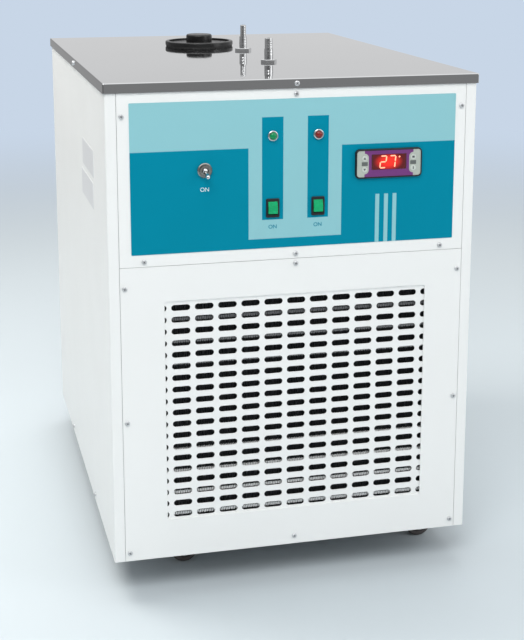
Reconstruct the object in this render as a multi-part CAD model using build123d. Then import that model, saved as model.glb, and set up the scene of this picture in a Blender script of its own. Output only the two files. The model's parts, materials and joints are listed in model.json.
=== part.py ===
# Recirculating chiller: a floor-standing sheet-steel cabinet on swivel casters, with a stainless lid,
# a filler cap and two hose nipples on top, a control fascia, and a slotted air intake in front of the
# condenser. The bath, coil, compressor, condenser fan and circulation pump are inside.
# Millimetres, +Z up, front towards -Y, origin under the middle of the whole part, on the floor.
from build123d import *
from math import cos, radians, sin, sqrt
import os

os.makedirs("parts", exist_ok=True)

# Cabinet
cab_w = 420.0
cab_d = 587.0
cab_h = 533.0            # bottom edge to the lower edge of the lid's skirt
sheet = 1.5              # covers and lid
flange_w = 12.0          # turned-in edges of the side panels
panel_gap = 0.5          # seam round each front panel
seam_z = cab_h - 190.5   # seam between the upper and the lower front panel
edge_r = 1.2             # outer bend of the side panels

# Lid
lid_skirt = 11.0
lid_over = 2.0
lid_bend_r = 1.4

# Base pan and front frame
pan_t = 2.0
pan_flange = 30.0
frame_t = 2.0
frame_leg = 20.0
post_w = 33.0
rail_h = 28.0
top_rail_h = 18.0

# Screws, pan head
screw_r = 1.5
screw_len = 6.0
head_r = 2.9
head_h = 1.9
screw_clear = 0.2

# Front panel screws
screw_in = 17.5          # rows at the sides, in from the cabinet's edge
screw_in_low = 39.5      # lower row of the upper panel
screw_top = 6.0          # below the lid's skirt
screw_shoulder = 25.0
screw_seam = 5.6         # above and below the seam
screw_lower_top = 23.5
screw_mid_z = 165.0
screw_low_z = 9.7
middle_x = cab_w / 2
upper_screw_xz = [(screw_in, cab_h - screw_shoulder), (middle_x, cab_h - screw_top),
                  (cab_w - screw_in, cab_h - screw_shoulder), (screw_in_low, seam_z + screw_seam),
                  (middle_x, seam_z + screw_seam), (cab_w - screw_in_low, seam_z + screw_seam)]
lower_screw_xz = [(middle_x, seam_z - screw_seam), (middle_x, screw_low_z)]
for screw_z in (seam_z - screw_lower_top, screw_mid_z, screw_low_z):
    lower_screw_xz += [(screw_in, screw_z), (cab_w - screw_in, screw_z)]
side_screw_front = 173.0
side_screw_rear = 170.0
side_screw_yz = [(side_screw_front, screw_low_z), (cab_d - side_screw_rear, screw_low_z)]
rear_screw_rows = 4
rear_screw_end = 12.0    # first and last row from the panel's ends
rear_screw_step = (cab_h - 2 * rear_screw_end) / (rear_screw_rows - 1)
rear_screw_z = [rear_screw_end + rear_screw_step * k for k in range(rear_screw_rows)]
lid_side_screw_y = cab_d / 2 - 16.5

# Intake window and slotted grille
window_x0 = 61.0
window_x1 = cab_w - 56.0
window_z0 = 45.2
window_z1 = seam_z - 40.5
window_r = 2.0
grille_t = 1.0
grille_edge = 2.0
slot_l = 21.2
slot_w = 6.9
slot_pitch_x = 26.4
slot_pitch_z = 13.5
slot_mid_x = (window_x0 + window_x1) / 2 - 1.1
slot_mid_z = (window_z0 + window_z1) / 2 - 1.3
# The end columns are half hidden by the window's edges, and every row is whole
slot_cols = 2 * int(((window_x1 - window_x0) / 2 + slot_l / 2) / slot_pitch_x) + 1
slot_rows = 2 * int(((window_z1 - window_z0) / 2 - slot_w / 2) / slot_pitch_z) + 1

# Exhaust slots in the rear panel
exhaust_cols = 5
exhaust_rows = 12
exhaust_l = 44.0
exhaust_w = 5.0
exhaust_pitch_x = 60.0
exhaust_pitch_z = 14.0
exhaust_mid_z = seam_z / 2 + 30.0

# Control fascia
overlay_t = 0.5
overlay_x0 = 25.7
overlay_x1 = cab_w - 24.7
overlay_z0 = seam_z + 13.6
overlay_z1 = cab_h - 11.0
overlay_r = 1.0

# Toggle switch
toggle_x = 107.1
toggle_z = cab_h - 86.2
toggle_thread_r = 6.0
toggle_bore_r = 3.5
toggle_ball_r = 3.42
toggle_nut_r = 8.2
toggle_nut_h = 3.2
toggle_out = 5.2         # how far the bushing stands out of the fascia
toggle_pivot_in = 2.2    # pivot behind the bushing's front
toggle_throw = 15.0      # degrees either side of level
lever_len = 16.5         # pivot to the centre of the lever's round tip
lever_tip_r = 2.4
lever_neck_r = 1.6
toggle_body_w = 17.0
toggle_body_h = 28.0
toggle_body_d = 20.0

# Pilot lamps
lamp_x = [middle_x - 26.8, middle_x + 25.0]
lamp_z = cab_h - 51.2
lamp_ring_r = 5.9
lamp_ring_h = 2.6
lamp_ring_edge_r = 1.2
lamp_thread_r = 4.7
lamp_lens_r = 4.0
lamp_lens_out = 1.1      # straight part of the lens in front of the ring
lamp_dome_h = 2.2
lamp_body_d = 24.0

# Rocker switches, one under each lamp
rocker_z = cab_h - 131.6
rocker_bezel_w = 15.0
rocker_bezel_h = 21.0
rocker_bezel_t = 1.8
rocker_bezel_r = 1.2
rocker_case_w = 13.0
rocker_case_h = 19.0
rocker_case_d = 22.0
rocker_w = 10.4
rocker_h = 13.6
rocker_side_gap = 0.2
rocker_throw = 9.0       # degrees either side of level
rocker_crown = 4.8       # pivot to the crown of the paddle
rocker_edge = 3.6        # pivot to the paddle's edge plane
rocker_pivot_y = 1.0     # pivot behind the fascia's front

# Digital controller
ctrl_x = cab_w - 103.5
ctrl_z = cab_h - 86.6
ctrl_w = 78.0
ctrl_h = 33.0
ctrl_r = 5.0
ctrl_out = 3.6           # bezel thickness in front of the fascia
ctrl_case_w = 71.0
ctrl_case_h = 28.0
ctrl_case_d = 62.0
ctrl_rim = 1.6
ctrl_recess = 1.2
face_t = 0.8
display_w = 41.0
display_h = 17.5
display_up = 1.7         # the window's centre above the controller's
key_r = 3.2
key_dx = 28.6
key_dz = 6.2
key_h = 1.2
key_travel = 0.4
key_gap = 0.1

# Panel cut-outs
cut_clear = 0.15

# Filler opening and cap
fill_x = middle_x - 24.8
fill_y = cab_d - 171.0
neck_r = 30.0
neck_wall = 3.5
neck_out = 1.6           # neck rim above the lid
lip_in_r = 22.5
lip_t = 2.4
cap_r = 46.0
cap_h = 7.2              # disc above the lid, gasket included
cap_rim_w = 5.0
cap_dish = 2.4
hub_r = 17.5
hub_h = 15.9             # hub top above the lid
spigot_r = 21.8
spigot_wall = 3.0
spigot_len = 12.0
lug_h = 3.0
lug_gap = 0.4
gasket_t = 2.0
gasket_in_r = 32.0
gasket_out_r = 45.2
cap_turn = 90.0          # quarter turn

# Hose nipples
supply_x = middle_x + 12.9
supply_y = 174.8
return_x = middle_x + 17.4
return_y = cab_d - 256.4
nut_h = 3.5
thread_r = 6.0
nipple_bore_r = 2.6
nipple_down = 28.0       # thread below the lid's top
locknut_t = 5.0
supply_af, supply_h, supply_body_r, supply_barb_r = 17.0, 29.0, 5.35, 4.8
return_af, return_h, return_body_r, return_barb_r = 18.9, 33.6, 4.85, 3.7
barb_lead = 0.6

# Reservoir of about 4 litres in use, its insulation and shelf
tank_w = 230.0
tank_d = 235.0
tank_h = 105.0
tank_x0 = middle_x - 140.0
tank_x1 = tank_x0 + tank_w
tank_y1 = cab_d - 40.0
tank_y0 = tank_y1 - tank_d
tank_z1 = cab_h - 24.0
tank_z0 = tank_z1 - tank_h
tank_t = 1.5
tank_r = 8.0
insul_t = 10.0
insul_gap = 0.2
shelf_t = 2.0
shelf_lip = 18.0
shelf_y0 = tank_y0 - 16.0
shelf_y1 = cab_d - 15.0

# Copper circuit
copper_r = 4.0
copper_wall = 0.8
copper_bend = 14.0
coil_x = tank_x0 + 25.0
coil_y0 = tank_y0 + 40.0
coil_pitch = 34.0
coil_runs = 6
coil_low = tank_z0 + 15.0
coil_high = tank_z1 - 30.0
coil_exit_z = tank_z1 - 16.0
coil_exit_x = tank_x0 - 18.0
riser_x = 24.0
pass_clear = 0.15
drier_y0, drier_y1 = 130.0, 220.0
drier_r = 9.5

# Compressor
comp_x = 105.0
comp_y = cab_d - 160.0
comp_r = 58.0
comp_h = 150.0
comp_dome = 34.0
comp_base = 118.0
comp_base_t = 3.0
grommet_r = 9.0
grommet_h = 16.0
comp_stub_r = 5.0
comp_stub_z = 120.0
comp_stub_dx = -20.0
comp_stub_reach = 70.0
terminal_box = 34.0

# Condenser, shroud and fan
cond_x0 = 50.0
cond_x1 = cab_w - 50.0
cond_y0 = 7.0
cond_d = 32.0
cond_z0 = 30.0
cond_z1 = seam_z - 21.0
fin_pitch = 5.0
fin_t = 1.2
fin_deep = 9.0
cond_plate_t = 2.0
cond_rows = 8
cond_tube_r = 4.8
cond_bend_x = 8.0
shroud_t = 1.2
shroud_d = 30.0
ring_r = 118.0
ring_d = 22.0
fan_x = middle_x
fan_z = (cond_z0 + cond_z1) / 2
fan_tip_gap = 6.0
fan_r = ring_r - fan_tip_gap
fan_hub_r = 24.0
fan_hub_d = 22.0
fan_blades_n = 5
fan_chord = 66.0
fan_twist = 26.0
fan_blade_t = 1.6
fan_motor_r = 32.0
fan_motor_d = 46.0
fan_motor_gap = 4.0
shaft_r = 3.0
shaft_clear = 0.05
shaft_in = 22.0
strap_w = 50.0
strap_t = 3.0

# Circulation pump
pump_x = cab_w - 90.0
pump_z = 58.0
pump_y = 230.0           # front face of the pump head
pump_head_r = 36.0
pump_head_d = 30.0
pump_chamber_r = 27.0
pump_chamber_d = 14.0
pump_motor_r = 38.0
pump_motor_d = 112.0
pump_port_r = 7.0
pump_port_bore = 4.5
pump_port_l = 12.0
impeller_r = 25.0
impeller_t = 3.0
vane_h = 6.0
vane_t = 1.6
vane_reach = 23.0
vane_n = 6
pump_shaft_r = 4.0
pump_shaft_in = 40.0
foot_w = 60.0

# Hoses
hose_r = 7.0
hose_wall = 2.0
hose_bend = 22.0
hose_rise_z = cab_h - 104.0       # the supply hose turns off above the pump
hose_cross_z = cab_h - 62.0       # and comes up under its nipple
hose_drop_z = tank_z0 - 110.0     # the suction hose turns off under the tank
hose_low_y, hose_low_z = 250.0, 150.0
hose_front_y = 160.0

# Rear power inlet and inner electrical box
inlet_x = cab_w - 68.0
inlet_z = 62.0
inlet_w, inlet_h = 50.0, 28.0
inlet_out = 3.0
inlet_d = 34.0
socket_w, socket_h, socket_d = 26.0, 18.0, 16.0
inlet_body_w, inlet_body_h = socket_w + 6.0, socket_h + 6.0
blade_w, blade_t, blade_l = 2.0, 4.4, 12.0
ebox_x0 = cab_w - 46.0
ebox_y0 = cab_d - 260.0
ebox_y1 = cab_d - 100.0
ebox_z0, ebox_z1 = 130.0, 290.0

# Casters
caster_h = 44.0
caster_in_x = 61.0       # swivel axis in from the side
caster_in_y = 80.0       # swivel axis in from the front and from the rear
caster_plate = 50.0
caster_plate_t = 2.5
caster_trail = 32.0
wheel_r = 16.0
wheel_w = 18.0
wheel_edge_r = 3.5
wheel_gap = 1.4
axle_r = 3.0
axle_clear = 0.05
leg_t = 2.5
fork_back = 9.0          # legs behind the swivel axis
fork_boss_r = 6.5        # rounded leg ends about the axle
kingpin_r = 4.0
swivel_gap = 0.3
swivel_t = 4.0
swivel_r = 15.0
kingpin_head = 1.5

# Derived places. The cabinet's own coordinates start at its left front bottom corner.
panel_top = cab_h + lid_skirt - sheet
lid_top = cab_h + lid_skirt
lever_reach = overlay_t + toggle_out - toggle_pivot_in + lever_len * cos(radians(toggle_throw)) + lever_tip_r
rear_reach = max(inlet_out, lid_over + head_h)
shift_x = -cab_w / 2
shift_y = (lever_reach - rear_reach) / 2 - cab_d / 2
shift_z = caster_h


def at(x, y, z):
    # Moves from cabinet coordinates to the part's frame
    return Pos(x + shift_x, y + shift_y, z + shift_z)


def block(x0, x1, y0, y1, z0, z1):
    size = Box(x1 - x0, y1 - y0, z1 - z0)
    return at((x0 + x1) / 2, (y0 + y1) / 2, (z0 + z1) / 2) * size


def rod_z(x, y, z0, z1, r):
    return at(x, y, (z0 + z1) / 2) * Cylinder(r, z1 - z0)


def rod_y(x, z, y0, y1, r):
    return at(x, (y0 + y1) / 2, z) * Rot(90, 0, 0) * Cylinder(r, y1 - y0)


def rod_x(y, z, x0, x1, r):
    return at((x0 + x1) / 2, y, z) * Rot(0, 90, 0) * Cylinder(r, x1 - x0)


def plate_y(x, z, w, h, y0, y1, r):
    # An upright plate with rounded corners, seen from the front
    face = Plane.XZ * RectangleRounded(w, h, r)
    return at(x, y1, z) * extrude(face, amount=y1 - y0)


def hexagon(x, y, z0, z1, across):
    face = RegularPolygon(across / 2, 6, major_radius=False)
    return at(x, y, z0) * extrude(face, amount=z1 - z0)


def tube(points, r, wall, bend):
    # A round tube whose straight runs are joined by tangent arcs
    places = [Vector(*p) + Vector(shift_x, shift_y, shift_z) for p in points]
    path = FilletPolyline(*places, radius=bend)
    start = Plane(origin=path @ 0, z_dir=path % 0)
    return sweep(start * (Circle(r) - Circle(r - wall)), path=path)


def save(shape, name):
    shape.label = name
    export_step(shape, f"parts/{name}.step")


def pan_screw(place, turn):
    # Modelled with its head towards +Z and its seat at the origin
    shank = Pos(0, 0, -screw_len / 2) * Cylinder(screw_r, screw_len)
    head = Pos(0, 0, head_h / 2) * Cylinder(head_r, head_h)
    head = fillet(head.edges().sort_by(Axis.Z)[-1:], head_h * 0.6)
    return place * turn * (head + shank)


# Screws and the holes that they pass through
front_turn = Rot(90, 0, 0)
rear_turn = Rot(-90, 0, 0)
left_turn = Rot(0, -90, 0)
right_turn = Rot(0, 90, 0)
side_rear_x = flange_w / 2


def screw_places():
    places = []
    for x, z in upper_screw_xz + lower_screw_xz:
        places.append((x, 0.0, z, front_turn))
    places.append((cab_w / 2, -lid_over, cab_h + lid_skirt / 2, front_turn))
    places.append((cab_w / 2, cab_d + lid_over, cab_h + lid_skirt / 2, rear_turn))
    places.append((-lid_over, lid_side_screw_y, cab_h + lid_skirt / 2, left_turn))
    places.append((cab_w + lid_over, lid_side_screw_y, cab_h + lid_skirt / 2, right_turn))
    for y, z in side_screw_yz:
        places.append((0.0, y, z, left_turn))
        places.append((cab_w, y, z, right_turn))
    for z in rear_screw_z:
        places.append((side_rear_x + sheet, cab_d, z, rear_turn))
        places.append((cab_w - side_rear_x - sheet, cab_d, z, rear_turn))
    return places


def screw_holes():
    hole = Cylinder(screw_r + screw_clear, 2 * (screw_len + 1))
    return [at(x, y, z) * turn * hole for x, y, z, turn in screw_places()]


def drilled(shape, holes):
    return shape - holes


def side_panel(left):
    outer = block(0, flange_w, 0, cab_d - sheet, 0, panel_top)
    long_edges = outer.edges().filter_by(Axis.Z).group_by(Axis.X)[0]
    outer = fillet(long_edges, edge_r)
    hollow = block(sheet, flange_w + 1, sheet, cab_d - 2 * sheet, -1, panel_top - sheet)
    panel = outer - hollow
    if left:
        return panel
    return mirror(panel, about=Plane.YZ)


def base_pan():
    tray = block(sheet, cab_w - sheet, sheet, cab_d - 2 * sheet, 0, pan_flange)
    hollow = block(sheet + pan_t, cab_w - sheet - pan_t, sheet + pan_t, cab_d - 2 * sheet - pan_t,
                   pan_t, pan_flange + 1)
    return tray - hollow


def front_frame():
    x0, x1 = sheet, cab_w - sheet
    y0, y1 = sheet, sheet + frame_t
    top = panel_top - sheet
    face = block(x0, x1, y0, y1, pan_flange, top)
    low = block(x0 + post_w, x1 - post_w, y0 - 1, y1 + 1, pan_flange - 1, seam_z - rail_h / 2)
    high = block(x0 + post_w, x1 - post_w, y0 - 1, y1 + 1, seam_z + rail_h / 2, top - top_rail_h)
    frame = face - [low, high]
    legs = [block(x0, x0 + frame_t, y0, y0 + frame_leg, pan_flange, top),
            block(x1 - frame_t, x1, y0, y0 + frame_leg, pan_flange, top),
            block(x0, x1, y0, y0 + frame_leg, top - frame_t, top)]
    return frame + legs


def rocker_swing(half, edge):
    # Height that the paddle's edge reaches at the end of its throw
    return half * cos(radians(rocker_throw)) + edge * sin(radians(rocker_throw))


rocker_window_h = 2 * (rocker_swing(rocker_h / 2, rocker_edge) + 0.25)
rocker_window_w = rocker_w + 2 * rocker_side_gap


def grown_window(x, z, w, h, y0, y1):
    # The cut-out for a case of w by h, with the clearance all round
    half_w = w / 2 + cut_clear
    half_h = h / 2 + cut_clear
    return block(x - half_w, x + half_w, y0, y1, z - half_h, z + half_h)


def fascia_cutouts(y0, y1):
    cuts = [rod_y(toggle_x, toggle_z, y0, y1, toggle_thread_r + cut_clear)]
    for x in lamp_x:
        cuts.append(rod_y(x, lamp_z, y0, y1, lamp_thread_r + cut_clear))
        cuts.append(grown_window(x, rocker_z, rocker_case_w, rocker_case_h, y0, y1))
    cuts.append(grown_window(ctrl_x, ctrl_z, ctrl_case_w, ctrl_case_h, y0, y1))
    return cuts


def upper_front_panel():
    edge = flange_w + panel_gap
    panel = block(edge, cab_w - edge, 0, sheet, seam_z + panel_gap / 2, panel_top)
    return panel - fascia_cutouts(-1, sheet + 1)


def fascia_overlay():
    film = plate_y((overlay_x0 + overlay_x1) / 2, (overlay_z0 + overlay_z1) / 2, overlay_x1 - overlay_x0,
                   overlay_z1 - overlay_z0, -overlay_t, 0, overlay_r)
    return film - fascia_cutouts(-1 - overlay_t, 1)


def lower_front_panel():
    edge = flange_w + panel_gap
    panel = block(edge, cab_w - edge, 0, sheet, 0, seam_z - panel_gap / 2)
    window = plate_y((window_x0 + window_x1) / 2, (window_z0 + window_z1) / 2, window_x1 - window_x0,
                     window_z1 - window_z0, -1, sheet + 1, window_r)
    return panel - window


def vent_grille():
    # One perforated sheet behind the window: the end columns are half hidden by the window's edges
    x0, x1 = sheet + post_w + grille_edge, cab_w - sheet - post_w - grille_edge
    z0, z1 = pan_flange + grille_edge, seam_z - rail_h / 2 - grille_edge
    cx, cz = (x0 + x1) / 2, (z0 + z1) / 2
    middle = Pos(slot_mid_x - cx, slot_mid_z - cz)
    slots = middle * GridLocations(slot_pitch_x, slot_pitch_z, slot_cols, slot_rows)
    face = Rectangle(x1 - x0, z1 - z0) - [place * SlotOverall(slot_l, slot_w) for place in slots]
    return at(cx, sheet + grille_t, cz) * extrude(Plane.XZ * face, amount=grille_t)


def rear_panel():
    panel = block(panel_gap, cab_w - panel_gap, cab_d - sheet, cab_d, 0, panel_top)
    slots = []
    for place in GridLocations(exhaust_pitch_x, exhaust_pitch_z, exhaust_cols, exhaust_rows):
        x = cab_w / 2 + place.position.X
        z = exhaust_mid_z + place.position.Y
        slot = extrude(Plane.XZ * SlotOverall(exhaust_l, exhaust_w), amount=sheet + 2)
        slots.append(at(x, cab_d + 1, z) * slot)
    cut = grown_window(inlet_x, inlet_z, inlet_body_w, inlet_body_h, cab_d - sheet - 1, cab_d + 1)
    return panel - (slots + [cut])


def lid():
    outer = block(-lid_over, cab_w + lid_over, -lid_over, cab_d + lid_over, cab_h, lid_top)
    outer = fillet(outer.edges().filter_by(Axis.Z) + outer.edges().group_by(Axis.Z)[-1], lid_bend_r)
    in_x = sheet - lid_over
    hollow = block(in_x, cab_w - in_x, in_x, cab_d - in_x, cab_h - 1, panel_top)
    holes = [rod_z(fill_x, fill_y, panel_top - 1, lid_top + 1, neck_r + 0.3),
             rod_z(supply_x, supply_y, panel_top - 1, lid_top + 1, thread_r + 0.15),
             rod_z(return_x, return_y, panel_top - 1, lid_top + 1, thread_r + 0.15)]
    return outer - hollow - holes


def toggle_body():
    y0 = sheet
    body = block(toggle_x - toggle_body_w / 2, toggle_x + toggle_body_w / 2, y0 + 1, y0 + 1 + toggle_body_d,
                 toggle_z - toggle_body_h / 2, toggle_z + toggle_body_h / 2)
    body = fillet(body.edges().filter_by(Axis.Y), 1.5)
    body = body - rod_y(toggle_x, toggle_z, y0, y0 + 10, toggle_bore_r + 0.4)
    tags = []
    for k in (-1, 0, 1):
        tags.append(block(toggle_x - 3, toggle_x + 3, y0 + 1 + toggle_body_d, y0 + toggle_body_d + 9,
                          toggle_z + k * 8 - 0.4, toggle_z + k * 8 + 0.4))
    return body + tags


def toggle_bushing():
    # The threaded bushing with its seat plate behind the panel, and the dress nut in front
    front = -overlay_t
    plate = block(toggle_x - 8, toggle_x + 8, sheet, sheet + 1, toggle_z - 12, toggle_z + 12)
    thread = rod_y(toggle_x, toggle_z, front - toggle_out, sheet + 1, toggle_thread_r)
    nut = rod_y(toggle_x, toggle_z, front - toggle_nut_h, front, toggle_nut_r)
    nut = chamfer(nut.edges().sort_by(Axis.Y)[:1], 0.8)
    bore = rod_y(toggle_x, toggle_z, front - toggle_out - 1, sheet + 2, toggle_bore_r)
    return plate + thread + nut - bore


toggle_pivot_y = -overlay_t - toggle_out + toggle_pivot_in


def toggle_lever():
    # Built level along -Y, then tipped down to its rest position
    ball = Sphere(toggle_ball_r)
    bat = Pos(0, -lever_len / 2, 0) * Rot(90, 0, 0) * Cone(lever_neck_r, lever_tip_r, lever_len)
    tip = Pos(0, -lever_len, 0) * Sphere(lever_tip_r)
    stub = Pos(0, 4.0, 0) * Rot(90, 0, 0) * Cylinder(1.4, 6.0)
    lever = ball + bat + tip + stub
    return at(toggle_x, toggle_pivot_y, toggle_z) * Rot(toggle_throw, 0, 0) * lever


def lamp_bezel(x):
    front = -overlay_t
    ring = rod_y(x, lamp_z, front - lamp_ring_h, front, lamp_ring_r)
    ring = fillet(ring.edges().sort_by(Axis.Y)[:1], lamp_ring_edge_r)
    body = rod_y(x, lamp_z, front, sheet + lamp_body_d, lamp_thread_r)
    well = rod_y(x, lamp_z, front - lamp_ring_h - 1, front, lamp_lens_r + 0.1)
    nut = hexagon(0, 0, 0, 3, 14).moved(Location((-shift_x, -shift_y, -shift_z)))
    nut = at(x, sheet + 3, lamp_z) * Rot(90, 0, 0) * nut
    return ring + body + nut - well


def lamp_lens(x):
    front = -overlay_t
    rim_y = front - lamp_ring_h - lamp_lens_out
    barrel = rod_y(x, lamp_z, rim_y, front, lamp_lens_r)
    ball_r = (lamp_lens_r ** 2 + lamp_dome_h ** 2) / (2 * lamp_dome_h)
    ball = at(x, rim_y + ball_r - lamp_dome_h, lamp_z) * Sphere(ball_r)
    keep = rod_y(x, lamp_z, rim_y - lamp_dome_h, rim_y, lamp_lens_r)
    return barrel + (ball & keep)


def rocker_case(x):
    front = -overlay_t
    bezel = plate_y(x, rocker_z, rocker_bezel_w, rocker_bezel_h, front - rocker_bezel_t, front,
                    rocker_bezel_r)
    bezel = fillet(bezel.edges().group_by(Axis.Y)[0], 0.5)
    body = block(x - rocker_case_w / 2, x + rocker_case_w / 2, front, rocker_case_d,
                 rocker_z - rocker_case_h / 2, rocker_z + rocker_case_h / 2)
    well = block(x - rocker_window_w / 2, x + rocker_window_w / 2, front - rocker_bezel_t - 1, 7.0,
                 rocker_z - rocker_window_h / 2, rocker_z + rocker_window_h / 2)
    tags = [block(x - 2.4, x + 2.4, rocker_case_d, rocker_case_d + 8, z - 0.4, z + 0.4)
            for z in (rocker_z - 5.0, rocker_z + 5.0)]
    return bezel + body + tags - well


def rocker_paddle(x):
    # Roof-shaped paddle with its upper end pressed in at rest
    half = rocker_h / 2
    outline = Polyline((-rocker_edge, -half), (-rocker_crown, 0), (-rocker_edge, half), (1.0, half - 1.6),
                       (3.4, 1.0), (3.4, -1.0), (1.0, -half + 1.6), close=True)
    side = make_face(outline)
    paddle = extrude(Plane.YZ * side, amount=rocker_w / 2, both=True)
    paddle = fillet(paddle.edges().filter_by(Axis.X).group_by(Axis.Y)[0], 1.0)
    pivot = at(x, rocker_pivot_y - overlay_t, rocker_z)
    return pivot * Rot(-rocker_throw, 0, 0) * paddle


display_z = ctrl_z + display_up


def controller_case():
    front = -overlay_t
    bezel = plate_y(ctrl_x, ctrl_z, ctrl_w, ctrl_h, front - ctrl_out, front, ctrl_r)
    bezel = fillet(bezel.edges().group_by(Axis.Y)[0], 1.0)
    recess = plate_y(ctrl_x, ctrl_z, ctrl_w - 2 * ctrl_rim, ctrl_h - 2 * ctrl_rim, front - ctrl_out - 1,
                     front - ctrl_out + ctrl_recess, ctrl_r - ctrl_rim)
    body = block(ctrl_x - ctrl_case_w / 2, ctrl_x + ctrl_case_w / 2, front, ctrl_case_d,
                 ctrl_z - ctrl_case_h / 2, ctrl_z + ctrl_case_h / 2)
    wells = [rod_y(x, z, front - ctrl_out, front, key_r + key_gap) for x, z in key_places()]
    bed = block(ctrl_x - display_w / 2, ctrl_x + display_w / 2, front - ctrl_out,
                front - ctrl_out + ctrl_recess + 1.0, display_z - display_h / 2, display_z + display_h / 2)
    return bezel + body - recess - wells - bed


def key_places():
    return [(ctrl_x + sx * key_dx, ctrl_z + sz * key_dz) for sx in (-1, 1) for sz in (1, -1)]


def controller_face():
    back = -overlay_t - ctrl_out + ctrl_recess
    face_in = ctrl_rim + 0.1
    face = plate_y(ctrl_x, ctrl_z, ctrl_w - 2 * face_in, ctrl_h - 2 * face_in, back - face_t, back,
                   ctrl_r - face_in)
    window = block(ctrl_x - display_w / 2, ctrl_x + display_w / 2, back - 2, back + 1,
                   display_z - display_h / 2, display_z + display_h / 2)
    holes = [rod_y(x, z, back - 2, back + 1, key_r + key_gap) for x, z in key_places()]
    return face - window - holes


def controller_display():
    back = -overlay_t - ctrl_out + ctrl_recess
    return block(ctrl_x - display_w / 2, ctrl_x + display_w / 2, back - face_t, back + 1.0,
                 display_z - display_h / 2, display_z + display_h / 2)


def controller_key(x, z):
    # The round key stands a little proud of the face and can be pressed by its travel
    back = -overlay_t - ctrl_out + ctrl_recess
    key = rod_y(x, z, back - face_t - 0.5, back + key_h, key_r)
    return fillet(key.edges().sort_by(Axis.Y)[:1], 0.3)


def ring_sector(r_in, r_out, z0, z1, half_angle):
    # A piece of a ring, symmetric about +X, round the filler's axis
    reach = r_out + 10
    wedge = make_face(Polyline((0, 0), (reach, -reach * sin(radians(half_angle))),
                               (reach, reach * sin(radians(half_angle))), close=True))
    ring = Circle(r_out) - Circle(r_in)
    return at(fill_x, fill_y, z0) * extrude(wedge & ring, amount=z1 - z0)


def turned_about_filler(shape, angle):
    axis_at = at(fill_x, fill_y, 0)
    return axis_at * Rot(0, 0, angle) * axis_at.inverse() * shape


def filler_neck():
    rim = lid_top + neck_out
    bore = rod_z(fill_x, fill_y, tank_z1 - 1, rim + 1, neck_r - neck_wall)
    tube_wall = rod_z(fill_x, fill_y, tank_z1, rim, neck_r) - bore
    mouth = rod_z(fill_x, fill_y, rim - lip_t - 1, rim + 1, lip_in_r)
    lip = rod_z(fill_x, fill_y, rim - lip_t, rim, neck_r - 1) - mouth
    gate = ring_sector(lip_in_r - 2, neck_r - neck_wall, rim - lip_t - 1, rim + 1, 22)
    gates = [turned_about_filler(gate, angle) for angle in (90, 270)]
    return tube_wall + (lip - gates)


def filler_cap():
    seat = lid_top + gasket_t
    top = lid_top + cap_h
    disc = rod_z(fill_x, fill_y, seat, top, cap_r)
    disc = fillet(disc.edges().sort_by(Axis.Z)[-1:], 1.6)
    dish = rod_z(fill_x, fill_y, top - cap_dish, top + 1, cap_r - cap_rim_w)
    hub = rod_z(fill_x, fill_y, seat, lid_top + hub_h, hub_r)
    hub = fillet(hub.edges().sort_by(Axis.Z)[-1:], 2.5)
    spigot = rod_z(fill_x, fill_y, seat - spigot_len, seat, spigot_r)
    core = rod_z(fill_x, fill_y, seat - spigot_len - 1, seat - 2, spigot_r - spigot_wall)
    lug_top = lid_top + neck_out - lip_t - lug_gap
    lug = ring_sector(spigot_r - 1, neck_r - neck_wall - 0.5, lug_top - lug_h, lug_top, 14)
    lugs = [turned_about_filler(lug, angle) for angle in (0, 180)]
    return (disc - dish) + hub + (spigot - core) + lugs


def cap_gasket():
    ring = rod_z(fill_x, fill_y, lid_top, lid_top + gasket_t, gasket_out_r)
    return ring - rod_z(fill_x, fill_y, lid_top - 1, lid_top + gasket_t + 1, gasket_in_r)


def nipple(x, y, across, height, body_r, barb_r):
    # Hex collar on the lid, stepped spout above it, thread down through the lid
    step = lid_top + nut_h + (height - nut_h) / 2
    top = lid_top + height
    collar = hexagon(x, y, lid_top, lid_top + nut_h, across)
    collar = chamfer(collar.edges().group_by(Axis.Z)[-1], 0.5)
    spout = rod_z(x, y, lid_top, step, body_r)
    barb = rod_z(x, y, step, top, barb_r)
    barb = chamfer(barb.edges().sort_by(Axis.Z)[-1:], barb_lead)
    thread = rod_z(x, y, lid_top - nipple_down, lid_top, thread_r)
    bore = rod_z(x, y, lid_top - nipple_down - 1, top + 1, nipple_bore_r)
    return collar + spout + barb + thread - bore


def locknuts():
    nuts = []
    for x, y, across in ((supply_x, supply_y, supply_af), (return_x, return_y, return_af)):
        nut = hexagon(x, y, panel_top - locknut_t, panel_top, across)
        nuts.append(nut - rod_z(x, y, panel_top - locknut_t - 1, panel_top + 1, thread_r + 0.02))
    return Compound(children=nuts)


# Reservoir
outlet_x = tank_x1 - 50.0
outlet_y = tank_y1 - 90.0
outlet_drop = 26.0
probe_x = tank_x1 - 28.0
probe_y = tank_y1 - 40.0
probe_r = 3.0
probe_len = tank_h * 0.6
return_port_r = 5.0


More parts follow.
